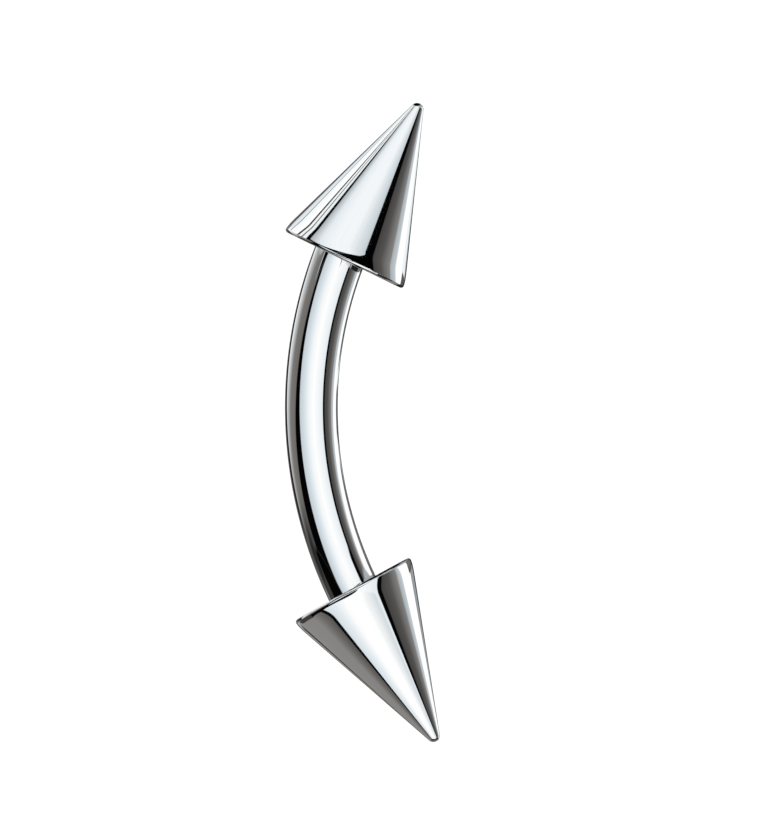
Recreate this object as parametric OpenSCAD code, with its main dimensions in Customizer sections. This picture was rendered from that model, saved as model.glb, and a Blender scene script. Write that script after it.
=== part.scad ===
// Curved eyebrow barbell: a bent round bar with a cone spike screwed on each end.
// It lies by itself on a flat surface, on the slanted sides of both spikes.
// +X runs along its length to the upper spike, +Y to the side that the bar bulges
// to, and +Z is up. Lengths are in millimetres.

/* [Bar] */
// Diameter of the round bar, 16 gauge
bar_d = 1.2; // [1:0.05:1.3]
// Length of bar that shows between the spikes, along its middle line
bar_len = 7.66; // [7:0.02:9]
// Radius of the bend, to the bar's middle line
bend_r = 9.52; // [8.5:0.02:10.5]
// How far the bar sits off its even place, along the length to the upper spike
bar_along = 0.16; // [0:0.02:0.2]
// How far the bar sits off its even place, to the side that it bulges to
bar_outward = 0.06; // [0:0.02:0.1]

/* [Spikes] */
// Diameter of a spike's base, over its rounded rim
spike_d = 3; // [2.7:0.05:3.4]
// Height of a spike, from its base to its rounded tip
spike_h = 3.95; // [3.7:0.05:5]
// Radius that rounds the rim of the base
rim_r = 0.1; // [0.05:0.01:0.2]
// Radius that rounds the tip
tip_r = 0.15; // [0.05:0.01:0.25]

/* [Screwed ends] */
// Length of the bend's end that stands in the spike's recess
seat_depth = 0.74; // [0.6:0.02:0.9]
// Length of the post that stands for the threaded end
post_len = 0.9; // [0.7:0.05:1]
// Depth from the bar's surface to the post's, the middle of the thread's flanks
thread_step = 0.08; // [0.06:0.01:0.12]
// Bevel on the post's end and round the recess's mouth
end_bevel = 0.06; // [0.02:0.01:0.08]
// Clearance round the bar in the recess
recess_gap = 0.03; // [0.02:0.01:0.06]
// Clearance round the post in its bore
post_gap = 0.02; // [0.01:0.005:0.05]
// Clearance past the bar's shoulder and past the post's end
end_gap = 0.03; // [0.02:0.01:0.06]

/* [Hidden] */

// Steps of a full round, and of the rounded rim and tip in a spike's outline
$fn = 96;
round_steps = 8;

// How far a cut runs past the face that it opens, and a post into its bar
overlap = 0.1;
// Angle of the flank at the bottom of a drilled hole
drill_flank = 31;

// The bend turns by seat_turn up to a spike's base, and by end_turn up to the
// shoulder in its recess, where it points along the spike's axis
seat_turn = bar_len / 2 / bend_r * 180 / PI;
end_turn = (bar_len / 2 + seat_depth) / bend_r * 180 / PI;

// The spike's flanks, run on to a sharp rim and a sharp tip, for a half angle a
function sharp_r(a) = spike_d / 2 + rim_r * ((1 + sin(a)) / cos(a) - 1);
function sharp_h(a) = spike_h + tip_r * (1 / sin(a) - 1);
// Each turn of this brings the half angle closer to the one that fits both
function fitted_angle(a, turns) =
    turns == 0 ? a : fitted_angle(atan(sharp_r(a) / sharp_h(a)), turns - 1);
half_angle = fitted_angle(atan(spike_d / 2 / spike_h), 12);

// Points of an arc round [x, y], from one angle to another
function arc(x, y, r, from, to) = [
    for (i = [0 : round_steps])
        let (a = from + (to - from) * i / round_steps)
        [x + r * cos(a), y + r * sin(a)]
];

// Middle of the rounded rim, from the spike's axis, and of the rounded tip, from its base
rim_x = spike_d / 2 - rim_r;
tip_z = spike_h - tip_r;

// Places in the bar's own plane, for the upper end: X along the length, Y to the bulge
seat = [bend_r * sin(seat_turn), -bend_r * (1 - cos(seat_turn))];
function bar_end(side) =
    [bend_r * sin(end_turn) + side * bar_along, bar_outward - bend_r * (1 - cos(end_turn))];
// How deep the bar's end stands in a spike, and how far it is off the spike's axis
function depth(side) =
    (bar_end(side) - seat) * [cos(end_turn), -sin(end_turn)];
function off_axis(side) =
    (bar_end(side) - seat) * [sin(end_turn), cos(end_turn)];

// Radii of the post, of its bore, and of the recess, which also clears the bend in it
post_r = bar_d / 2 - thread_step;
bore_r = post_r + post_gap;
function recess_r(side) =
    bar_d / 2 + recess_gap + bend_r - sqrt(pow(bend_r, 2) - pow(depth(side), 2));

// The part lies on the spikes' flanks, with the bar's plane leaning at this angle
lean = asin(sin(half_angle) / sin(end_turn));
// Across the part: middles of a spike's base, rim and tip, and the ends of the whole
axis_y = -sin(end_turn) * cos(lean);
seat_y = seat[1] * cos(lean);
rim_y = seat_y + rim_r * axis_y;
rim_reach = rim_x * sqrt(1 - pow(axis_y, 2)) + rim_r;
high_y = max(rim_y + rim_reach, bar_outward * cos(lean) + bar_d / 2);
low_y = min(rim_y - rim_reach, seat_y + tip_z * axis_y - tip_r);
rest_y = -(high_y + low_y) / 2;
rest_z = sharp_r(half_angle) * cos(half_angle) - seat[1] * sin(lean);

// The bar's plane leans, and the flanks come down to the surface at Z 0
module as_it_lies() {
    translate([0, rest_y, rest_z])
    rotate([lean, 0, 0])
        children();
}

// A spike's base at Z 0 and its axis along +Z go to an end of the bar. side is 1 for
// the upper end and -1 for the lower one, and +X there points to the bulge.
module at_seat(side) {
    mirror([side < 0 ? 1 : 0, 0, 0])
    translate([seat[0], seat[1], 0])
    rotate([0, 0, -end_turn])
    rotate([0, 90, 0])
    rotate([0, 0, 90])
        children();
}

// Round bar along the bend, from one shoulder to the other
module bend() {
    translate([bar_along, bar_outward - bend_r, 0])
    rotate_extrude(angle = 2 * end_turn, start = 90 - end_turn)
    translate([bend_r, 0])
        circle(d = bar_d);
}

// Post that stands for the threaded end, from the bar's shoulder into the spike
module post(side) {
    translate([off_axis(side), 0, depth(side)])
    rotate_extrude()
    polygon([
        [0, -overlap],
        [post_r, -overlap],
        [post_r, post_len - end_bevel],
        [post_r - end_bevel, post_len],
        [0, post_len]
    ]);
}

// Recess for the bar, and the drilled bore for the post
module spike_hole(side) {
    floor_z = depth(side) + end_gap;
    bore_z = floor_z + post_len;
    translate([off_axis(side), 0, 0])
    rotate_extrude()
    polygon([
        [0, -overlap],
        [recess_r(side) + end_bevel + overlap, -overlap],
        [recess_r(side), end_bevel],
        [recess_r(side), floor_z],
        [bore_r, floor_z],
        [bore_r, bore_z],
        [0, bore_z + bore_r * tan(drill_flank)]
    ]);
}

// Cone with a rounded rim and a rounded tip, its base at Z 0
module cone() {
    rotate_extrude()
    polygon(concat(
        [[0, 0]],
        arc(rim_x, rim_r, rim_r, -90, half_angle),
        arc(0, tip_z, tip_r, half_angle, 90)
    ));
}

module spike(side) {
    as_it_lies()
    at_seat(side)
    difference() {
        cone();
        spike_hole(side);
    }
}

module bar() {
    color("silver")
    as_it_lies()
    union() {
        bend();
        at_seat(1) post(1);
        at_seat(-1) post(-1);
    }
}

module upper_spike() {
    color("gainsboro")
        spike(1);
}

module lower_spike() {
    color("gainsboro")
        spike(-1);
}

bar();
upper_spike();
lower_spike();
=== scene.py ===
"""Curved eyebrow barbell: a bent round bar with a cone spike screwed on each end.

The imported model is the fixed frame. Each of its three pieces is made again here as a
finer mesh with the same sizes, and gets the threads, the softened edges and the mirror
polish that the real piece has. Sizes are in millimetres until a mesh is made.
"""

import logging
import math
from dataclasses import dataclass, field
from enum import Enum

import bmesh
import bpy
from mathutils import Euler, Matrix, Vector


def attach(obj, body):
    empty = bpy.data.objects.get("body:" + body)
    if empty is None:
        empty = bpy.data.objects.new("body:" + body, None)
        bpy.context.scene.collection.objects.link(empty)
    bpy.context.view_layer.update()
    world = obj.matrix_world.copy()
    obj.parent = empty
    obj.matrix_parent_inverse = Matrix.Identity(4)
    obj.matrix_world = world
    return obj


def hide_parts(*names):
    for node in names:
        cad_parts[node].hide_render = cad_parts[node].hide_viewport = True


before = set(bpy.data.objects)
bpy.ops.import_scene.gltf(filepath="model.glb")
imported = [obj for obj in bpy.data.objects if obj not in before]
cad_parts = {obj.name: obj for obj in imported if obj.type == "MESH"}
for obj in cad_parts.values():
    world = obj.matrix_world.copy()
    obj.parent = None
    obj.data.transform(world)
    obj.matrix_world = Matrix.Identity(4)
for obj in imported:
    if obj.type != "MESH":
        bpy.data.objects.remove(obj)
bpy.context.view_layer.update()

MM = 0.001
# Points closer than this are one point, in metres
MERGE_DISTANCE = 1e-8
# Edges that turn by more than this stay crisp
CRISP_ANGLE = math.radians(33)
# Name of the attribute that carries a piece's own polishing direction
POLISH_ATTRIBUTE = "polish_lines"
# How much the polish lines change along the buffing, as a share of across it
LINE_DRIFT = 0.02
# Rounds that bring a spike's half angle to the one that fits its rim and tip
FIT_ROUNDS = 12
# Straight stretches of an outline get a point this close to each end, as a share
CLOSE_SHARE = 0.004
# Corners of a flat sheet, as shares of its half sizes
CORNERS = ((-1, -1), (1, -1), (1, 1), (-1, 1))
FULL_WHITE = (1.0, 1.0, 1.0, 1.0)

# The kinds of node and the settings that the trees use most
MATH = "ShaderNodeMath"
VECTOR = "ShaderNodeVectorMath"
JOIN = "ShaderNodeCombineXYZ"
SPLIT = "ShaderNodeSeparateXYZ"
MAP = "ShaderNodeMapRange"
NOISE = "ShaderNodeTexNoise"
PLUS = {"operation": "ADD"}
MINUS = {"operation": "SUBTRACT"}
TIMES = {"operation": "MULTIPLY"}
OVER = {"operation": "DIVIDE"}
LEAST = {"operation": "MINIMUM"}
SCALE = {"operation": "SCALE"}
SINE = {"operation": "SINE"}
COSINE = {"operation": "COSINE"}
DEGREES = {"operation": "DEGREES"}
SMOOTH = {"interpolation_type": "SMOOTHSTEP"}

log = logging.getLogger("barbell")


def linear(colour: str) -> tuple[float, float, float]:
    """Turn an sRGB hex colour into the linear one that Blender works with.

    Args:
        colour: Six hex digits, such as "c8cacc".

    Returns:
        Red, green and blue, linear, from 0 to 1.
    """
    shares = [int(colour[i : i + 2], 16) / 255 for i in (0, 2, 4)]
    return tuple(c / 12.92 if c <= 0.04045 else ((c + 0.055) / 1.055) ** 2.4 for c in shares)


def add(
    tree: bpy.types.NodeTree,
    kind: str,
    settings: dict[str, object] | None = None,
    inputs: dict[str | int, object] | None = None,
) -> bpy.types.Node:
    """Add a node with its settings, and set or link its inputs.

    Args:
        tree: The tree that the node goes in.
        kind: The node's type name.
        settings: Properties of the node, by name.
        inputs: A value or a socket to link from, by input name or number.

    Returns:
        The new node.
    """
    node = tree.nodes.new(kind)
    for name, value in (settings or {}).items():
        setattr(node, name, value)
    for name, value in (inputs or {}).items():
        if isinstance(value, bpy.types.NodeSocket):
            tree.links.new(value, node.inputs[name])
        else:
            node.inputs[name].default_value = value
    return node


def geometry_tree(name: str, inputs: dict[str, str]) -> bpy.types.NodeTree:
    """Start a Geometry Nodes tree that makes a mesh from named sizes.

    Args:
        name: Name of the tree.
        inputs: Socket type of each named input.

    Returns:
        The tree, with its interface but without nodes.
    """
    tree = bpy.data.node_groups.new(name, "GeometryNodeTree")
    for label, kind in inputs.items():
        tree.interface.new_socket(label, in_out="INPUT", socket_type=kind)
    tree.interface.new_socket("Mesh", in_out="OUTPUT", socket_type="NodeSocketGeometry")
    return tree


def run_tree(tree: bpy.types.NodeTree, name: str, values: dict[str, object]) -> bpy.types.Object:
    """Run a Geometry Nodes tree and keep what it makes as a plain mesh.

    Args:
        tree: The tree to run.
        name: Name of the new object.
        values: A value for each named input.

    Returns:
        A mesh object without modifiers, linked to the scene.
    """
    piece = bpy.data.objects.new(name, bpy.data.meshes.new(name))
    bpy.context.scene.collection.objects.link(piece)
    modifier = piece.modifiers.new(name, "NODES")
    modifier.node_group = tree
    for socket in tree.interface.items_tree:
        if socket.item_type == "SOCKET" and socket.in_out == "INPUT":
            modifier[socket.identifier] = values[socket.name]
    depsgraph = bpy.context.evaluated_depsgraph_get()
    made = bpy.data.meshes.new_from_object(piece.evaluated_get(depsgraph), depsgraph=depsgraph)
    piece.modifiers.remove(modifier)
    piece.data = made
    made.name = name
    return piece


def finish_tree(
    tree: bpy.types.NodeTree,
    grid: bpy.types.NodeSocket,
    point: bpy.types.NodeSocket,
    lines: bpy.types.NodeSocket,
    finish: bpy.types.NodeSocket,
) -> None:
    """Put a flat grid's points in place, mark the polishing on them, and end the tree.

    Args:
        tree: The tree.
        grid: The flat grid.
        point: Where each of its points goes.
        lines: Place of each point in the pattern of polish lines, in metres.
        finish: The material.
    """
    pattern = add(tree, VECTOR, SCALE, {0: lines, "Scale": 1 / MM}).outputs[0]
    marked = add(
        tree,
        "GeometryNodeStoreNamedAttribute",
        {"data_type": "FLOAT_VECTOR", "domain": "POINT"},
        {"Geometry": grid, "Name": POLISH_ATTRIBUTE, "Value": pattern},
    ).outputs[0]
    shaped = add(tree, "GeometryNodeSetPosition", None, {0: marked, "Position": point}).outputs[0]
    real = add(tree, "GeometryNodeRealizeInstances", None, {0: shaped}).outputs[0]
    done = add(tree, "GeometryNodeSetMaterial", None, {0: real, "Material": finish}).outputs[0]
    add(tree, "NodeGroupOutput", None, {0: done})


def close_mesh(piece: bpy.types.Object) -> None:
    """Close the seams and poles, turn the faces outwards and keep the edges crisp.

    Args:
        piece: A mesh object.
    """
    shape = bmesh.new()
    shape.from_mesh(piece.data)
    bmesh.ops.remove_doubles(shape, verts=shape.verts, dist=MERGE_DISTANCE)
    bmesh.ops.dissolve_degenerate(shape, edges=shape.edges, dist=MERGE_DISTANCE)
    bmesh.ops.recalc_face_normals(shape, faces=shape.faces)
    if shape.calc_volume(signed=True) < 0:
        bmesh.ops.reverse_faces(shape, faces=shape.faces)
    for face in shape.faces:
        face.smooth = True
    open_edges = sum(not edge.is_manifold for edge in shape.edges)
    shape.to_mesh(piece.data)
    shape.free()
    piece.data.set_sharp_from_angle(angle=CRISP_ANGLE)
    log.info("%s: %d faces, %d open edges", piece.name, len(piece.data.polygons), open_edges)


class End(Enum):
    """The two ends of the bar."""

    UPPER = 1
    LOWER = -1


@dataclass(frozen=True)
class Barbell:
    """Sizes that the pieces share, and how the barbell lies. All but the pitch are the CAD's."""

    bar_d: float = 1.2
    bar_len: float = 7.66
    bend_r: float = 9.52
    bar_along: float = 0.16
    bar_outward: float = 0.06
    spike_d: float = 3.0
    spike_h: float = 3.95
    rim_r: float = 0.1
    tip_r: float = 0.15
    seat_depth: float = 0.74
    post_len: float = 0.9
    thread_pitch: float = 0.25
    recess_gap: float = 0.03
    end_gap: float = 0.03
    end_bevel: float = 0.06

    @property
    def seat_turn(self) -> float:
        """How far the bend turns from its middle to a spike's base."""
        return self.bar_len / 2 / self.bend_r

    @property
    def end_turn(self) -> float:
        """How far the bend turns from its middle to the shoulder in a spike."""
        return (self.bar_len / 2 + self.seat_depth) / self.bend_r

    @property
    def half_angle(self) -> float:
        """Half angle of the cone whose rounded rim and tip keep both spike sizes."""
        angle = math.atan(self.spike_d / 2 / self.spike_h)
        for _ in range(FIT_ROUNDS):
            angle = math.atan(self.sharp_radius(angle) / self.sharp_height(angle))
        return angle

    def sharp_radius(self, angle: float) -> float:
        """Radius of the base if the flanks ran on to a sharp rim."""
        return self.spike_d / 2 + self.rim_r * ((1 + math.sin(angle)) / math.cos(angle) - 1)

    def sharp_height(self, angle: float) -> float:
        """Height of the cone if the flanks ran on to a sharp tip."""
        return self.spike_h + self.tip_r * (1 / math.sin(angle) - 1)

    @property
    def seat(self) -> Vector:
        """Middle of the upper spike's base, in the bar's own plane."""
        turn = self.seat_turn
        return Vector((math.sin(turn), math.cos(turn) - 1, 0)) * self.bend_r

    @property
    def lean(self) -> float:
        """Angle that the bar's plane leans at, with both flanks down on the floor."""
        return math.asin(math.sin(self.half_angle) / math.sin(self.end_turn))

    def end_offset(self, end: End) -> Vector:
        """Way from a spike's seat to the bar's shoulder in it, in the bar's plane."""
        turn = self.end_turn
        shoulder = Vector((math.sin(turn), math.cos(turn) - 1, 0)) * self.bend_r
        return shoulder + Vector((end.value * self.bar_along, self.bar_outward, 0)) - self.seat

    def depth(self, end: End) -> float:
        """How deep the bar's shoulder stands in a spike."""
        along = Vector((math.cos(self.end_turn), -math.sin(self.end_turn), 0))
        return self.end_offset(end).dot(along)

    def off_axis(self, end: End) -> float:
        """How far the bar's end is off a spike's axis, towards the bulge."""
        across = Vector((math.sin(self.end_turn), math.cos(self.end_turn), 0))
        return self.end_offset(end).dot(across)

    def recess_r(self, end: End) -> float:
        """Radius of the recess that clears the bend in a spike."""
        depth = self.depth(end)
        bow = self.bend_r - math.sqrt(self.bend_r**2 - depth**2)
        return self.bar_d / 2 + self.recess_gap + bow

    def lying(self) -> Matrix:
        """Turn and move the bar's own plane to where the part lies.

        Returns:
            A matrix that also turns millimetres into metres.
        """
        axis_y = -math.sin(self.end_turn) * math.cos(self.lean)
        seat_y = self.seat.y * math.cos(self.lean)
        rim_y = seat_y + self.rim_r * axis_y
        rim_reach = (self.spike_d / 2 - self.rim_r) * math.sqrt(1 - axis_y**2) + self.rim_r
        tip_y = seat_y + (self.spike_h - self.tip_r) * axis_y
        high = max(rim_y + rim_reach, self.bar_outward * math.cos(self.lean) + self.bar_d / 2)
        low = min(rim_y - rim_reach, tip_y - self.tip_r)
        angle = self.half_angle
        height = self.sharp_radius(angle) * math.cos(angle) - self.seat.y * math.sin(self.lean)
        place = Matrix.Translation((0, -(high + low) / 2, height))
        return Matrix.Scale(MM, 4) @ place @ Matrix.Rotation(self.lean, 4, "X")

    def seated(self, end: End) -> Matrix:
        """Turn and move a spike, which points along +Z from its base, to its end."""
        quarter = math.pi / 2
        turned = Matrix.Translation(self.seat) @ Matrix.Rotation(-self.end_turn, 4, "Z")
        turned = turned @ Matrix.Rotation(quarter, 4, "Y") @ Matrix.Rotation(quarter, 4, "Z")
        if end is End.LOWER:
            turned = Matrix.Diagonal((-1, 1, 1, 1)) @ turned @ Matrix.Diagonal((1, -1, 1, 1))
        return self.lying() @ turned


@dataclass(frozen=True)
class PolishedSteel:
    """Surgical stainless steel, turned or drawn, then buffed to a mirror.

    The eye sees almost only what it reflects, with crisp edges. Buffing leaves lines finer
    than a hundredth of a millimetre, too fine to show here, so they are drawn a few times
    as wide and very shallow, and they only soften the reflections along the buffing.
    """

    colour: str = "cbcdcf"
    roughness_low: float = 0.02
    roughness_high: float = 0.055
    # Shares of wear at which the roughness is at its low and at its high
    wear_low: float = 0.12
    wear_high: float = 0.42
    line_width: float = 0.05
    line_depth: float = 0.00002
    smudge_width: float = 1.1

    def material(self) -> bpy.types.Material:
        """Make the material.

        Returns:
            A material that reads the polishing attribute and Object coordinates.
        """
        steel = bpy.data.materials.new("mirror_polished_surgical_steel")
        steel.use_nodes = True
        tree = steel.node_tree
        tree.nodes.clear()
        pattern = add(tree, "ShaderNodeAttribute", {"attribute_name": POLISH_ATTRIBUTE})
        lines = add(
            tree,
            NOISE,
            None,
            {
                "Vector": pattern.outputs["Vector"],
                "Scale": 1 / self.line_width,
                "Detail": 2.0,
                "Roughness": 0.6,
            },
        ).outputs["Fac"]
        place = add(tree, "ShaderNodeTexCoord").outputs["Object"]
        smudges = add(
            tree,
            NOISE,
            None,
            {
                "Vector": place,
                "Scale": 1 / (self.smudge_width * MM),
                "Detail": 3.0,
                "Roughness": 0.5,
            },
        ).outputs["Fac"]
        wear = add(tree, MATH, TIMES, {0: smudges, 1: lines}).outputs[0]
        roughness = add(
            tree,
            MAP,
            SMOOTH,
            {
                "Value": wear,
                "From Min": self.wear_low,
                "From Max": self.wear_high,
                "To Min": self.roughness_low,
                "To Max": self.roughness_high,
            },
        ).outputs["Result"]
        bump = add(
            tree,
            "ShaderNodeBump",
            None,
            {"Strength": 1.0, "Distance": self.line_depth * MM, "Height": lines},
        ).outputs["Normal"]
        surface = add(
            tree,
            "ShaderNodeBsdfPrincipled",
            None,
            {
                "Base Color": (*linear(self.colour), 1),
                "Metallic": 1.0,
                "Roughness": roughness,
                "Normal": bump,
            },
        ).outputs["BSDF"]
        add(tree, "ShaderNodeOutputMaterial", None, {"Surface": surface})
        return steel


def arc(
    middle: tuple[float, float], radius: float, turns: tuple[float, float], steps: int
) -> list[tuple[float, float]]:
    """Put points on an arc of an outline.

    Args:
        middle: The arc's middle.
        radius: Its radius.
        turns: Its first and last angle.
        steps: Number of even steps.

    Returns:
        The points, with both ends.
    """
    first, last = turns
    points = []
    for i in range(steps + 1):
        turn = first + (last - first) * i / steps
        points.append((middle[0] + radius * math.cos(turn), middle[1] + radius * math.sin(turn)))
    return points


def between(
    start: tuple[float, float], end: tuple[float, float], steps: int
) -> list[tuple[float, float]]:
    """Put points on a straight stretch of an outline, with one close to each end.

    The close ones keep the shading of a curve off the straight stretch beside it.

    Args:
        start: First point, which is left out.
        end: Last point.
        steps: Number of even steps.

    Returns:
        The points after start, up to end.
    """
    shares = [CLOSE_SHARE] + [i / steps for i in range(1, steps)] + [1 - CLOSE_SHARE, 1.0]
    across, along = end[0] - start[0], end[1] - start[1]
    return [(start[0] + across * s, start[1] + along * s) for s in shares]


@dataclass
class BentBar:
    """The round bar, bent to a plain arc, with a shoulder and a thread at each end."""

    sizes: Barbell
    finish: bpy.types.Material
    crest_r: float = 0.585
    root_r: float = 0.447
    # Where a thread's flank starts and stops, in pitches from the middle of its root
    flank_start: float = 0.09
    flank_stop: float = 0.42
    # Where the thread begins, and where it is full, from the shoulder
    run_in: tuple[float, float] = (0.05, 0.2)
    edge_bevel: float = 0.03
    end_chamfer: float = 0.12
    rows: int = 384
    around: int = 128
    # Share of the rows that lies along the bend, and a share far smaller than one row
    bend_share: float = 0.5
    hair: float = 0.0001
    piece: bpy.types.Object | None = field(default=None, init=False)

    def tree(self) -> bpy.types.NodeTree:
        """Build the tree that lays a closed grid along the bend and the two threads.

        Returns:
            A Geometry Nodes tree with named inputs for the bar's sizes.
        """
        tree = geometry_tree(
            "bent_bar_with_threads",
            {
                "Bend radius": "NodeSocketFloat",
                "Bar radius": "NodeSocketFloat",
                "Half length": "NodeSocketFloat",
                "Thread length": "NodeSocketFloat",
                "Thread pitch": "NodeSocketFloat",
                "Crest radius": "NodeSocketFloat",
                "Root radius": "NodeSocketFloat",
                "Edge bevel": "NodeSocketFloat",
                "End chamfer": "NodeSocketFloat",
                "Rows": "NodeSocketInt",
                "Around": "NodeSocketInt",
                "Finish": "NodeSocketMaterial",
            },
        )
        size = add(tree, "NodeGroupInput").outputs
        grid = add(
            tree,
            "GeometryNodeMeshGrid",
            None,
            {
                "Size X": 2.0,
                "Size Y": math.tau,
                "Vertices X": size["Rows"],
                "Vertices Y": size["Around"],
            },
        ).outputs["Mesh"]
        here = add(tree, "GeometryNodeInputPosition").outputs[0]
        at = add(tree, SPLIT, None, {0: here}).outputs
        share, angle = at["X"], at["Y"]
        side = add(tree, MATH, {"operation": "SIGN"}, {0: share}).outputs[0]
        reach = add(tree, MATH, {"operation": "ABSOLUTE"}, {0: share}).outputs[0]

        # The inner half of the rows lies along the bend, and the outer half along a thread
        bend = add(
            tree,
            MAP,
            None,
            {"Value": reach, "From Max": self.bend_share, "To Max": size["Half length"]},
        ).outputs[0]
        screw = add(
            tree,
            MAP,
            None,
            {"Value": reach, "From Min": self.bend_share, "To Max": size["Thread length"]},
        ).outputs[0]
        straight = add(tree, MATH, TIMES, {0: screw, 1: side}).outputs[0]

        # Plain bar, with a bevel at its shoulder
        left = add(tree, MATH, MINUS, {0: size["Half length"], 1: bend}).outputs[0]
        edge = add(tree, MATH, MINUS, {0: size["Bar radius"], 1: size["Edge bevel"]}).outputs[0]
        bevel = add(tree, MATH, PLUS, {0: edge, 1: left}).outputs[0]
        plain = add(tree, MATH, LEAST, {0: size["Bar radius"], 1: bevel}).outputs[0]

        # Right-handed thread: its crest moves one pitch along the bar for each turn
        way = add(tree, MATH, OVER, {0: straight, 1: size["Thread pitch"]}).outputs[0]
        turn = add(tree, MATH, OVER, {0: angle, 1: math.tau}).outputs[0]
        phase = add(tree, MATH, MINUS, {0: way, 1: turn}).outputs[0]
        phase = add(tree, MATH, {"operation": "PINGPONG"}, {0: phase, 1: 0.5}).outputs[0]
        flank = add(
            tree,
            MAP,
            None,
            {"Value": phase, "From Min": self.flank_start, "From Max": self.flank_stop},
        ).outputs[0]
        begin, full = self.run_in
        start = add(
            tree,
            MAP,
            SMOOTH,
            {"Value": screw, "From Min": begin * MM, "From Max": full * MM},
        ).outputs[0]
        high = add(tree, MATH, TIMES, {0: flank, 1: start}).outputs[0]
        thread = add(
            tree,
            MAP,
            None,
            {"Value": high, "To Min": size["Root radius"], "To Max": size["Crest radius"]},
        ).outputs[0]
        ahead = add(tree, MATH, MINUS, {0: size["Thread length"], 1: screw}).outputs[0]
        lead = add(tree, MATH, MINUS, {0: size["Crest radius"], 1: size["End chamfer"]}).outputs[0]
        lead = add(tree, MATH, PLUS, {0: lead, 1: ahead}).outputs[0]
        thread = add(tree, MATH, LEAST, {0: thread, 1: lead}).outputs[0]

        # The last row closes on the axis, as the flat end of the thread
        shoulder = self.bend_share + self.hair
        past = add(tree, MATH, {"operation": "GREATER_THAN"}, {0: reach, 1: shoulder}).outputs[0]
        open_end = add(tree, MATH, {"operation": "LESS_THAN"}, {0: reach, 1: 1 - self.hair})
        radius = add(tree, MAP, None, {"Value": past, "To Min": plain, "To Max": thread})
        radius = add(tree, MATH, TIMES, {0: radius.outputs[0], 1: open_end.outputs[0]}).outputs[0]

        # Middle line, its direction, and the two directions across it
        bent = add(tree, MATH, OVER, {0: bend, 1: size["Bend radius"]}).outputs[0]
        bent = add(tree, MATH, TIMES, {0: bent, 1: side}).outputs[0]
        sine = add(tree, MATH, SINE, {0: bent}).outputs[0]
        cosine = add(tree, MATH, COSINE, {0: bent}).outputs[0]
        outward = add(tree, JOIN, None, {"X": sine, "Y": cosine}).outputs[0]
        drop = add(tree, MATH, TIMES, {0: sine, 1: -1.0}).outputs[0]
        along = add(tree, JOIN, None, {"X": cosine, "Y": drop}).outputs[0]
        middle = add(tree, VECTOR, SCALE, {0: outward, "Scale": size["Bend radius"]}).outputs[0]
        centre = add(tree, JOIN, None, {"Y": size["Bend radius"]}).outputs[0]
        middle = add(tree, VECTOR, MINUS, {0: middle, 1: centre}).outputs[0]
        onward = add(tree, VECTOR, SCALE, {0: along, "Scale": straight}).outputs[0]
        middle = add(tree, VECTOR, PLUS, {0: middle, 1: onward}).outputs[0]
        out = add(tree, MATH, COSINE, {0: angle}).outputs[0]
        out = add(tree, MATH, TIMES, {0: out, 1: radius}).outputs[0]
        up = add(tree, MATH, SINE, {0: angle}).outputs[0]
        up = add(tree, MATH, TIMES, {0: up, 1: radius}).outputs[0]
        across = add(tree, VECTOR, SCALE, {0: outward, "Scale": out}).outputs[0]
        rise = add(tree, JOIN, None, {"Z": up}).outputs[0]
        across = add(tree, VECTOR, PLUS, {0: across, 1: rise}).outputs[0]
        point = add(tree, VECTOR, PLUS, {0: middle, 1: across}).outputs[0]

        # Buffed along its length: the lines keep their place round the bar and hardly
        # change along it
        length = add(tree, MATH, PLUS, {0: bend, 1: screw}).outputs[0]
        length = add(tree, MATH, TIMES, {0: length, 1: side}).outputs[0]
        length = add(tree, MATH, TIMES, {0: length, 1: LINE_DRIFT}).outputs[0]
        lines = add(tree, JOIN, None, {"X": out, "Y": up, "Z": length}).outputs[0]
        finish_tree(tree, grid, point, lines, size["Finish"])
        return tree

    def build(self) -> None:
        """Make the bar's mesh and lay it in place of its plain solid."""
        sizes = self.sizes
        self.piece = run_tree(
            self.tree(),
            "polished_bar",
            {
                "Bend radius": sizes.bend_r * MM,
                "Bar radius": sizes.bar_d / 2 * MM,
                "Half length": sizes.end_turn * sizes.bend_r * MM,
                "Thread length": sizes.post_len * MM,
                "Thread pitch": sizes.thread_pitch * MM,
                "Crest radius": self.crest_r * MM,
                "Root radius": self.root_r * MM,
                "Edge bevel": self.edge_bevel * MM,
                "End chamfer": self.end_chamfer * MM,
                "Rows": self.rows + 1,
                "Around": self.around + 1,
                "Finish": self.finish,
            },
        )
        shift = Matrix.Translation((sizes.bar_along, sizes.bar_outward, 0))
        self.piece.data.transform(sizes.lying() @ shift @ Matrix.Scale(1 / MM, 4))
        close_mesh(self.piece)

    def dress(self) -> None:
        """Let the piece ride on the bar's body and stand for its plain solid."""
        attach(self.piece, "bar")
        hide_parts("bar")


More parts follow.
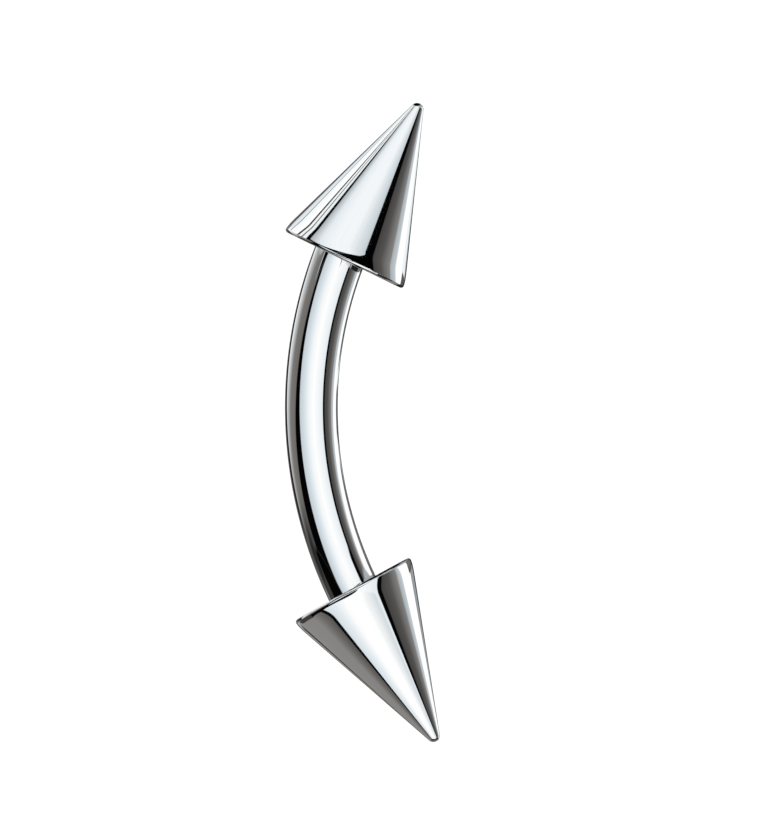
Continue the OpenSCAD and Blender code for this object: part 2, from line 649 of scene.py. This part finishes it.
@dataclass
class Spike:
    """A turned cone spike, drilled and recessed for its end of the bar."""

    sizes: Barbell
    end: End
    finish: bpy.types.Material
    node: str
    # Polishing rounds the end of the flank, more and more towards the tight edge
    belly: float = 0.35
    belly_turn: float = math.radians(12)
    edge_r: float = 0.07
    bore_r: float = 0.61
    # Depth of the bore's thread, and where it starts past the recess
    thread_depth: float = 0.025
    thread_start: float = 0.06
    # Where a groove of it is deepest, and where it ends, in pitches
    groove_middle: float = 0.4
    groove_end: float = 0.8
    drill_flank: float = math.radians(31)
    arc_steps: int = 24
    flank_steps: int = 40
    belly_steps: int = 48
    recess_steps: int = 4
    around: int = 192
    piece: bpy.types.Object | None = field(default=None, init=False)

    def flank(self) -> list[tuple[float, float]]:
        """Trace the outside from the tip to the flat base.

        Returns:
            Points as radius and height, with extra ones where a straight meets a curve.
        """
        sizes = self.sizes
        angle = sizes.half_angle
        tip = (0.0, sizes.spike_h - sizes.tip_r)
        points = arc(tip, sizes.tip_r, (math.pi / 2, angle), self.arc_steps)
        points[0] = (0.0, sizes.spike_h)
        # The belly turns away from the flank, slowly at first, and is put down on the rim
        step = self.belly / self.belly_steps
        belly = [(0.0, 0.0)]
        for i in range(self.belly_steps):
            turn = angle - self.belly_turn * ((i + 0.5) / self.belly_steps) ** 2
            out, up = belly[-1]
            belly.append((out + step * math.sin(turn), up - step * math.cos(turn)))
        last_turn = angle - self.belly_turn
        top_z = self.edge_r * (1 + math.sin(last_turn)) - belly[-1][1]
        top_r = sizes.sharp_radius(angle) - top_z * math.tan(angle)
        points += between(points[-1], (top_r, top_z), self.flank_steps)
        points += [(top_r + r, top_z + z) for r, z in belly[1:]]
        rim = (points[-1][0] - self.edge_r * math.cos(last_turn), self.edge_r)
        points += arc(rim, self.edge_r, (last_turn, -math.pi / 2), self.arc_steps)[1:]
        return points

    def hole(self) -> list[tuple[float, float]]:
        """Trace the recess and the threaded bore from the mouth to the drilled end.

        Returns:
            Points as radius and height, about the bar's end.
        """
        sizes = self.sizes
        pitch = sizes.thread_pitch
        recess = sizes.recess_r(self.end)
        floor = sizes.depth(self.end) + sizes.end_gap
        bottom = floor + sizes.post_len
        points = [(recess + sizes.end_bevel, 0.0), (recess, sizes.end_bevel)]
        points += between(points[-1], (recess, floor), self.recess_steps)
        points.append((self.bore_r, floor))
        for i in range(int(sizes.post_len / pitch)):
            start = floor + self.thread_start + i * pitch
            points.append((self.bore_r, start))
            points.append((self.bore_r + self.thread_depth, start + pitch * self.groove_middle))
            points.append((self.bore_r, start + pitch * self.groove_end))
        points.append((self.bore_r, bottom))
        # A drill leaves a cone at the bottom
        points.append((0.0, bottom + self.bore_r * math.tan(self.drill_flank)))
        return points

    def tree(self) -> bpy.types.NodeTree:
        """Build the tree that turns an outline round, each ring about its own middle.

        Returns:
            A Geometry Nodes tree whose outline's points hold radius, middle and height.
        """
        tree = geometry_tree(
            "turned_spike",
            {
                "Outline": "NodeSocketObject",
                "Around": "NodeSocketInt",
                "Finish": "NodeSocketMaterial",
            },
        )
        size = add(tree, "NodeGroupInput").outputs
        outline = add(tree, "GeometryNodeObjectInfo", None, {"Object": size["Outline"]})
        outline = outline.outputs["Geometry"]
        count = add(tree, "GeometryNodeAttributeDomainSize", None, {0: outline})
        count = count.outputs["Point Count"]
        last = add(tree, MATH, MINUS, {0: count, 1: 1.0}).outputs[0]
        grid = add(
            tree,
            "GeometryNodeMeshGrid",
            None,
            {
                "Size X": last,
                "Size Y": math.tau,
                "Vertices X": count,
                "Vertices Y": size["Around"],
            },
        ).outputs["Mesh"]
        here = add(tree, "GeometryNodeInputPosition").outputs[0]
        at = add(tree, SPLIT, None, {0: here}).outputs
        half = add(tree, MATH, TIMES, {0: last, 1: 0.5}).outputs[0]
        row = add(tree, MATH, PLUS, {0: at["X"], 1: half}).outputs[0]
        row = add(tree, MATH, {"operation": "ROUND"}, {0: row}).outputs[0]
        ring = add(
            tree,
            "GeometryNodeSampleIndex",
            {"data_type": "FLOAT_VECTOR", "domain": "POINT"},
            {"Geometry": outline, "Value": here, "Index": row},
        ).outputs[0]
        ring = add(tree, SPLIT, None, {0: ring}).outputs
        out = add(tree, MATH, COSINE, {0: at["Y"]}).outputs[0]
        out = add(tree, MATH, TIMES, {0: out, 1: ring["X"]}).outputs[0]
        out = add(tree, MATH, PLUS, {0: out, 1: ring["Y"]}).outputs[0]
        across = add(tree, MATH, SINE, {0: at["Y"]}).outputs[0]
        across = add(tree, MATH, TIMES, {0: across, 1: ring["X"]}).outputs[0]
        point = add(tree, JOIN, None, {"X": out, "Y": across, "Z": ring["Z"]}).outputs[0]

        # Buffed as it spins: the lines run round it and hardly change on the way
        drift = add(tree, MATH, TIMES, {0: out, 1: LINE_DRIFT}).outputs[0]
        lines = add(tree, JOIN, None, {"X": ring["X"], "Y": drift, "Z": ring["Z"]}).outputs[0]
        finish_tree(tree, grid, point, lines, size["Finish"])
        return tree

    def build(self) -> None:
        """Make the spike's mesh and lay it in place of its plain solid."""
        off_axis = self.sizes.off_axis(self.end)
        rings = [(r * MM, 0.0, z * MM) for r, z in self.flank()]
        rings += [(r * MM, off_axis * MM, z * MM) for r, z in self.hole()]
        name = self.node + "_outline"
        outline = bpy.data.objects.new(name, bpy.data.meshes.new(name))
        outline.data.from_pydata(rings, [(i, i + 1) for i in range(len(rings) - 1)], [])
        bpy.context.scene.collection.objects.link(outline)
        self.piece = run_tree(
            self.tree(),
            "polished_" + self.node,
            {"Outline": outline, "Around": self.around + 1, "Finish": self.finish},
        )
        bpy.data.objects.remove(outline)
        self.piece.data.transform(self.sizes.seated(self.end) @ Matrix.Scale(1 / MM, 4))
        close_mesh(self.piece)

    def dress(self) -> None:
        """Let the piece ride on its spike's body and stand for its plain solid."""
        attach(self.piece, self.node)
        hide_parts(self.node)


class Cloth(Enum):
    """Cards, cloths and flags of the studio, by the shade that polished steel shows."""

    WHITE = "ffffff"
    MILK = "f2f6f8"
    PALE = "e4ebef"
    COOL = "d4dfe5"
    HAZE = "c2ccd2"
    SILVER = "a6acb0"
    LEAD = "8f9396"
    ASH = "858482"
    GREY = "6c6966"
    SLATE = "525150"
    CHARCOAL = "3c3b3a"
    SOOT = "202020"
    BLACK = "040404"


@dataclass(frozen=True)
class Panel:
    """A softbox, card or flag that lies along the part and shows in the steel.

    Each edge is an angle round the part's length, in degrees from the photograph's side
    and positive towards the bulge, and then how far it leans for each degree towards the
    upper spike, and how it bows. The cloths are evenly spaced from start to stop, and
    reach is how far the panel runs along the part, in degrees.
    """

    start: tuple[float, float, float]
    stop: tuple[float, float, float]
    cloths: tuple[Cloth, ...]
    reach: tuple[float, float] = (-95.0, 95.0)
    softness: float = 0.4
    end_softness: float = 1.0


@dataclass(frozen=True)
class Studio:
    """Plain pale floor, even light from all round, and panels for the steel to mirror."""

    sizes: Barbell
    steel: str
    panels: tuple[Panel, ...]
    # The floor, a light table of white acrylic, lies a glass sheet's thickness under the part,
    # and glows to just the white of the background, so that it doesn't eat into the outline
    floor_colour: str = "f4f4f4"
    floor_size: float = 4.0
    floor_roughness: float = 0.9
    glass: float = 0.9
    glow: float = 0.95
    # Strength of the even light on all that doesn't mirror
    light: float = 0.15
    # Folds in the panels' cloth, across the part's length, in degrees and as a share
    fold_width: float = 3.0
    fold_depth: float = 0.05
    # Small card close to the upper spike: its middle in the frame of the bar's plane,
    # half its size along and across, and the angle round the length that it faces
    card_middle: tuple[float, float, float] = (4.15, -4.05, 5.4)
    card_half: tuple[float, float] = (1.25, 2.1)
    card_turn: float = -38.0

    def sheet(
        self,
        name: str,
        corners: list[Vector],
        cloth: str,
        colour: str,
        roughness: float = 1.0,
        glow: float = 0.0,
    ) -> bpy.types.Object:
        """Make a flat matt sheet, without any shine.

        Args:
            name: Name of the sheet.
            corners: Its four corners, in metres.
            cloth: Name of its material.
            colour: Its colour, as six hex digits.
            roughness: Its roughness.
            glow: Strength of its own white light.

        Returns:
            The sheet, linked to the scene.
        """
        plane = bpy.data.objects.new(name, bpy.data.meshes.new(name))
        plane.data.from_pydata(corners, [], [(0, 1, 2, 3)])
        bpy.context.scene.collection.objects.link(plane)
        material = bpy.data.materials.new(cloth)
        material.use_nodes = True
        surface = material.node_tree.nodes["Principled BSDF"].inputs
        surface["Base Color"].default_value = (*linear(colour), 1)
        surface["Roughness"].default_value = roughness
        surface["Specular IOR Level"].default_value = 0.0
        surface["Emission Color"].default_value = FULL_WHITE
        surface["Emission Strength"].default_value = glow
        plane.data.materials.append(material)
        return plane

    def card(self) -> None:
        """Stand a small black card where only the upper spike's rim mirrors it."""
        middle = Vector(self.card_middle)
        along = Vector((self.card_half[0], 0.0, 0.0))
        turn = math.radians(-self.card_turn)
        across = Vector((0.0, math.cos(turn), math.sin(turn))) * self.card_half[1]
        place = self.sizes.lying()
        corners = [place @ (middle + along * x + across * y) for x, y in CORNERS]
        plane = self.sheet("rim_card", corners, "black_cloth", Cloth.BLACK.value)
        # Only the steel's reflections have it: it neither shows nor casts a shadow
        plane.visible_camera = False
        plane.visible_diffuse = False
        plane.visible_shadow = False

    def floor(self) -> None:
        """Lay the floor: a light table, a glass sheet's thickness under the part."""
        half = self.floor_size / 2
        corners = [Vector((half * x, half * y, -self.glass * MM)) for x, y in CORNERS]
        plane = self.sheet(
            "floor",
            corners,
            "matt_white_acrylic",
            self.floor_colour,
            self.floor_roughness,
            self.glow,
        )
        # The steel mirrors the studio and not the floor, and an unscrewed spike stays whole
        plane.visible_glossy = False

    def world(self) -> None:
        """Light the scene evenly, and set the panels round the part."""
        world = bpy.data.worlds.new("studio")
        bpy.context.scene.world = world
        world.use_nodes = True
        tree = world.node_tree
        tree.nodes.clear()
        way = add(tree, "ShaderNodeTexCoord").outputs["Generated"]
        # Turn the studio so that Z is the photograph's side and Y the bulge
        turned = add(
            tree,
            "ShaderNodeMapping",
            {"vector_type": "POINT"},
            {"Vector": way, "Rotation": (-self.sizes.lean, 0.0, 0.0)},
        ).outputs[0]
        part = add(tree, SPLIT, None, {0: turned}).outputs
        round_it = add(tree, MATH, {"operation": "ARCTAN2"}, {0: part["Y"], 1: part["Z"]})
        round_it = add(tree, MATH, DEGREES, {0: round_it.outputs[0]}).outputs[0]
        along = add(tree, MATH, {"operation": "ARCSINE"}, {0: part["X"]}).outputs[0]
        along = add(tree, MATH, DEGREES, {0: along}).outputs[0]
        squared = add(tree, MATH, TIMES, {0: along, 1: along}).outputs[0]
        bow = add(tree, JOIN, None, {"X": 1.0, "Y": along, "Z": squared}).outputs[0]
        seen = None
        for panel in self.panels:
            seen = self.hang(tree, panel, round_it, along, bow, seen)
        folds = add(
            tree,
            NOISE,
            {"noise_dimensions": "1D"},
            {"W": round_it, "Scale": 1 / self.fold_width, "Detail": 1.0},
        ).outputs[0]
        folds = add(
            tree,
            MAP,
            {"clamp": False},
            {"Value": folds, "To Min": 1 - self.fold_depth, "To Max": 1 + self.fold_depth},
        ).outputs[0]
        seen = add(tree, VECTOR, SCALE, {0: seen, "Scale": folds}).outputs[0]
        # A panel is as much brighter than its tone as the steel is darker than white
        seen = add(tree, VECTOR, OVER, {0: seen, 1: linear(self.steel)}).outputs[0]
        mirrored = add(tree, "ShaderNodeBackground", None, {"Color": seen}).outputs[0]
        even = add(
            tree,
            "ShaderNodeBackground",
            None,
            {"Color": FULL_WHITE, "Strength": self.light},
        ).outputs[0]
        behind = add(tree, "ShaderNodeBackground", None, {"Color": FULL_WHITE}).outputs[0]
        path = add(tree, "ShaderNodeLightPath").outputs
        light = add(
            tree,
            "ShaderNodeMixShader",
            None,
            {0: path["Is Glossy Ray"], 1: even, 2: mirrored},
        ).outputs[0]
        light = add(
            tree,
            "ShaderNodeMixShader",
            None,
            {0: path["Is Camera Ray"], 1: light, 2: behind},
        ).outputs[0]
        add(tree, "ShaderNodeOutputWorld", None, {"Surface": light})

    def hang(
        self,
        tree: bpy.types.NodeTree,
        panel: Panel,
        round_it: bpy.types.NodeSocket,
        along: bpy.types.NodeSocket,
        bow: bpy.types.NodeSocket,
        behind: bpy.types.NodeSocket | None,
    ) -> bpy.types.NodeSocket:
        """Hang one panel in front of those that are there.

        Args:
            tree: The world's node tree.
            panel: The panel.
            round_it: Angle round the part's length, in degrees.
            along: Angle towards the upper spike, in degrees.
            bow: One, that angle, and its square.
            behind: Colour of what is there already, or None.

        Returns:
            The colour with the panel in it.
        """
        dot = {"operation": "DOT_PRODUCT"}
        start = add(tree, VECTOR, dot, {0: bow, 1: panel.start}).outputs["Value"]
        stop = add(tree, VECTOR, dot, {0: bow, 1: panel.stop}).outputs["Value"]
        share = add(tree, MAP, None, {"Value": round_it, "From Min": start, "From Max": stop})
        cloth = add(tree, "ShaderNodeValToRGB", None, {"Fac": share.outputs["Result"]})
        stops = cloth.color_ramp.elements
        while len(stops) < len(panel.cloths):
            stops.new(0.5)
        last = max(len(panel.cloths) - 1, 1)
        for i, shade in enumerate(panel.cloths):
            stops[i].position = i / last
            stops[i].color = (*linear(shade.value), 1.0)
        if len(panel.cloths) == 1:
            stops[1].color = stops[0].color
        if behind is None:
            return cloth.outputs["Color"]
        mask = None
        limits = (
            (round_it, start, panel.softness),
            (stop, round_it, panel.softness),
            (along, panel.reach[0], panel.end_softness),
            (panel.reach[1], along, panel.end_softness),
        )
        for high, low, softness in limits:
            past = add(tree, MATH, MINUS, {0: high, 1: low}).outputs[0]
            inside = add(
                tree,
                MAP,
                SMOOTH,
                {"Value": past, "From Min": -softness, "From Max": softness},
            ).outputs["Result"]
            if mask is not None:
                inside = add(tree, MATH, TIMES, {0: mask, 1: inside}).outputs[0]
            mask = inside
        return add(
            tree,
            "ShaderNodeMix",
            {"data_type": "RGBA"},
            {"Factor": mask, "A": behind, "B": cloth.outputs["Color"]},
        ).outputs["Result"]


@dataclass(frozen=True)
class PhotoView:
    """The photograph's camera, on its side so that the part's length stands upright."""

    azimuth: float = -0.2234
    elevation: float = 40.8628
    roll: float = -91.3456
    distance: float = 400.0
    aim: tuple[float, float, float] = (0.2411, -0.4308, 0.8896)
    lens: float = 768.89
    sensor: float = 36.0
    # Nearest and farthest that it sees, in metres
    clip: tuple[float, float] = (0.001, 10.0)

    def build(self) -> None:
        """Make the camera and let the scene use it."""
        lens = bpy.data.cameras.new("photo_view")
        lens.lens = self.lens
        lens.sensor_width = self.sensor
        lens.clip_start, lens.clip_end = self.clip
        camera = bpy.data.objects.new("photo_view", lens)
        level = Euler((math.radians(90 - self.elevation), 0, math.radians(self.azimuth))).to_matrix()
        turned = level @ Matrix.Rotation(math.radians(self.roll), 3, "Z")
        place = Vector(self.aim) + level.col[2] * self.distance
        camera.matrix_world = Matrix.Translation(place * MM) @ turned.to_4x4()
        bpy.context.scene.collection.objects.link(camera)
        bpy.context.scene.camera = camera


# Which part of the studio a surface mirrors, as a reach along the part
UPPER_END = (22.5, 95.0)
LOWER_END = (-95.0, -22.5)
MIDDLE = (-24.0, 24.0)

# The studio as the photograph's reflections show it, hung from the back to the front
STUDIO_PANELS = (
    Panel((-180, 0, 0), (180, 0, 0), (Cloth.ASH,)),
    # Concave side: a dark wall, a grey card, a white panel low down and the back's edge
    Panel((-98, 0.3, 0), (-56, 0, 0), (Cloth.ASH, Cloth.SLATE, Cloth.CHARCOAL), softness=1.5),
    Panel((-111.5, 0.6, 0), (-98, 0.3, 0), (Cloth.HAZE, Cloth.SILVER), softness=1.5),
    Panel((-160, 0, 0), (-111.5, 0.6, 0), (Cloth.WHITE,), softness=1.5),
    Panel((-182, 0, 0), (-138.5, 0.3, 0), (Cloth.SLATE,), MIDDLE),
    Panel((-182, 0, 0), (-135, 0, 0), (Cloth.GREY,), (7, 14), end_softness=3),
    Panel((-142, 0, 0), (-136, 0, 0), (Cloth.WHITE,), (2, 4.5), end_softness=0.6),
    Panel((-182, 0, 0), (-142, 0, 0), (Cloth.LEAD,), (2, 4.5), end_softness=0.6),
    Panel((-155, 0, 0), (-137, 0, 0), (Cloth.PALE,), (-4, -2.4), end_softness=0.5),
    Panel((-182, 0, 0), (-155, 0, 0), (Cloth.LEAD,), (-4, -1.4), end_softness=0.5),
    Panel((-182, 0, 0), (-162, 0, 0), (Cloth.BLACK,), (-14, 14), softness=1.5),
    Panel(
        (-182, 0, 0),
        (-47, 0, 0),
        (Cloth.LEAD, Cloth.SILVER, Cloth.SILVER),
        UPPER_END,
        end_softness=0.6,
    ),
    Panel(
        (-182, 0, 0),
        (-57, 0, 0),
        (Cloth.SLATE, Cloth.GREY, Cloth.ASH, Cloth.SLATE, Cloth.PALE),
        LOWER_END,
        end_softness=0.6,
    ),
    # Bulging side, which the bar mirrors: a black flag, a warm wall and a pale card
    Panel((49, 0, 0), (131, 0, 0), (Cloth.BLACK,), MIDDLE),
    Panel((73, -0.85, 0), (131.5, 0.3, 0), (Cloth.GREY, Cloth.ASH), MIDDLE, 1.5),
    Panel((104, -0.6, 0), (131.5, 0.5, 0), (Cloth.ASH, Cloth.MILK), (-4, 24), 1.5, 16),
    Panel((84, 0, 0), (131, 0, 0), (Cloth.SLATE, Cloth.SOOT, Cloth.CHARCOAL), (-24, -12), 3, 4),
    Panel(
        (131.5, 0.5, 0),
        (182, 0, 0),
        (Cloth.BLACK, Cloth.SOOT, Cloth.SLATE, Cloth.ASH, Cloth.SILVER),
        (-12.5, 12.5),
    ),
    Panel((127, 0, 0), (176, 0, 0), (Cloth.SLATE,), (-19, -9.5), 2, 2),
    # Bulging side, which the upper spike mirrors: bright, with seams in it
    Panel(
        (75, 0, 0),
        (157, 0, 0),
        (Cloth.PALE, Cloth.MILK, Cloth.WHITE, Cloth.MILK, Cloth.HAZE),
        UPPER_END,
    ),
    Panel((157, 0, 0), (182, 0, 0), (Cloth.CHARCOAL,), (17.5, 95)),
    Panel((159, 0, 0), (182, 0, 0), (Cloth.SLATE,), (11, 17.5)),
    Panel((90.5, 0, 0), (94.5, 0, 0), (Cloth.SLATE,), UPPER_END),
    Panel((103.3, 0, 0), (109.8, 0, 0), (Cloth.CHARCOAL,), UPPER_END),
    Panel((138, 0, 0), (141.5, 0, 0), (Cloth.LEAD,), UPPER_END),
    Panel((134, 0, 0), (151, 0, 0), (Cloth.MILK,), (14.5, 24)),
    Panel((-180, 0, 0), (-223, -6.89, -0.144), (Cloth.SOOT,), (-36, -12.5)),
    # Bulging side, which the lower spike mirrors: a flat grey card
    Panel(
        (50, 0, 0),
        (152.5, 0, 0),
        (Cloth.SLATE, Cloth.GREY, Cloth.ASH, Cloth.ASH, Cloth.ASH),
        LOWER_END,
    ),
    Panel((152.5, 0, 0), (158.5, 0, 0), (Cloth.SOOT,), (-95, -20)),
    Panel((158.5, 0, 0), (168, 0, 0), (Cloth.ASH,), (-95, -12)),
    Panel((168, 0, 0), (182, 0, 0), (Cloth.BLACK,), (-95, -4)),
    # Front softbox, as each piece mirrors it
    Panel(
        (-52.6, 0.03, -0.006),
        (50.4, 0.05, -0.012),
        (Cloth.PALE, Cloth.MILK, Cloth.WHITE, Cloth.MILK, Cloth.COOL, Cloth.HAZE),
        MIDDLE,
    ),
    Panel(
        (-47.5, 0, 0),
        (68, 0, 0),
        (Cloth.HAZE, Cloth.MILK, Cloth.MILK, Cloth.PALE, Cloth.SILVER),
        (17.5, 95),
    ),
    Panel(
        (-58, 0, 0),
        (98.2, 1, 0),
        (Cloth.HAZE, Cloth.WHITE, Cloth.WHITE, Cloth.PALE, Cloth.COOL),
        (-95, -18),
    ),
    # Black edges of the softbox
    Panel((-61.5, 0, 0), (-52.6, 0.03, -0.006), (Cloth.BLACK,), MIDDLE),
    Panel((-62, 0, 0), (-47.5, 0, 0), (Cloth.BLACK,), (15.2, 27), end_softness=0.6),
    Panel((-62.5, 0, 0), (-58, 0, 0), (Cloth.BLACK,), (-30, -12.5)),
    Panel((68, 0, 0), (79, 0, 0), (Cloth.BLACK,), UPPER_END),
    Panel((98.2, 1, 0), (110, 1, 0), (Cloth.BLACK,), (-95, -41)),
    # Black flags past the bar's share of the front, which only the rounded rims mirror
    Panel((-121.6, 4.6, 0), (77.5, 0, 0), (Cloth.BLACK,), (22.5, 41), end_softness=0.6),
    Panel((-121.6, 4.6, 0), (64, 0, 0), (Cloth.BLACK,), (17, 22.5), end_softness=0.6),
    Panel((1, -2.2, 0), (-1, 2.2, 0), (Cloth.BLACK,), (3.6, 17.5), end_softness=0.4),
    Panel((96, 0, 0), (108, -3.7, -0.09), (Cloth.CHARCOAL,), (-45, -20)),
    Panel((136, 0, 0), (158.5, 0, 0), (Cloth.ASH, Cloth.SILVER), (-20, -14.5)),
    Panel((-10.5, 1.28, 0.072), (97, 0, 0), (Cloth.BLACK,), (-43, -17), end_softness=0.8),
    Panel((-10.5, 1.28, 0.072), (-1, -2.2, 0), (Cloth.BLACK,), (-17.5, -7.2), end_softness=0.4),
    # Flags past both ends, which only the rounded tips mirror
    Panel((-182, 0, 0), (182, 0, 0), (Cloth.BLACK,), (60.5, 95)),
    Panel((-182, 0, 0), (-95, 0, 0), (Cloth.BLACK,), (46, 95)),
    Panel((-182, 0, 0), (-154, 0, 0), (Cloth.SLATE,), (24, 50)),
    Panel((226, -2.15, 0), (182, 0, 0), (Cloth.BLACK,), (37, 65)),
    Panel((-182, 0, 0), (182, 0, 0), (Cloth.BLACK,), (-95, -62)),
    Panel((-118, 0, 0), (-66, 0, 0), (Cloth.SOOT,), (-64, -28)),
    Panel((-182, 0, 0), (-140, 0, 0), (Cloth.ASH,), (-76, -36)),
    Panel((138, 0, 0), (182, 0, 0), (Cloth.ASH,), (-76, -40)),
)


def main() -> None:
    """Build the barbell, its studio and the camera, and report each piece."""
    logging.basicConfig(level=logging.INFO, format="%(name)s: %(message)s")
    sizes = Barbell()
    PhotoView().build()
    polish = PolishedSteel()
    steel = polish.material()
    studio = Studio(sizes, polish.colour, STUDIO_PANELS)
    studio.floor()
    studio.card()
    studio.world()
    bpy.context.scene.view_settings.view_transform = "Standard"
    pieces = (
        BentBar(sizes, steel),
        Spike(sizes, End.UPPER, steel, "upper_spike"),
        Spike(sizes, End.LOWER, steel, "lower_spike"),
    )
    for maker in pieces:
        maker.build()
        maker.dress()
    for maker in pieces:
        piece = maker.piece
        low, high = (Vector(c) for c in (piece.bound_box[0], piece.bound_box[6]))
        log.info("%s from %s to %s m", piece.name, low.to_tuple(6), high.to_tuple(6))


if __name__ == "__main__":
    main()
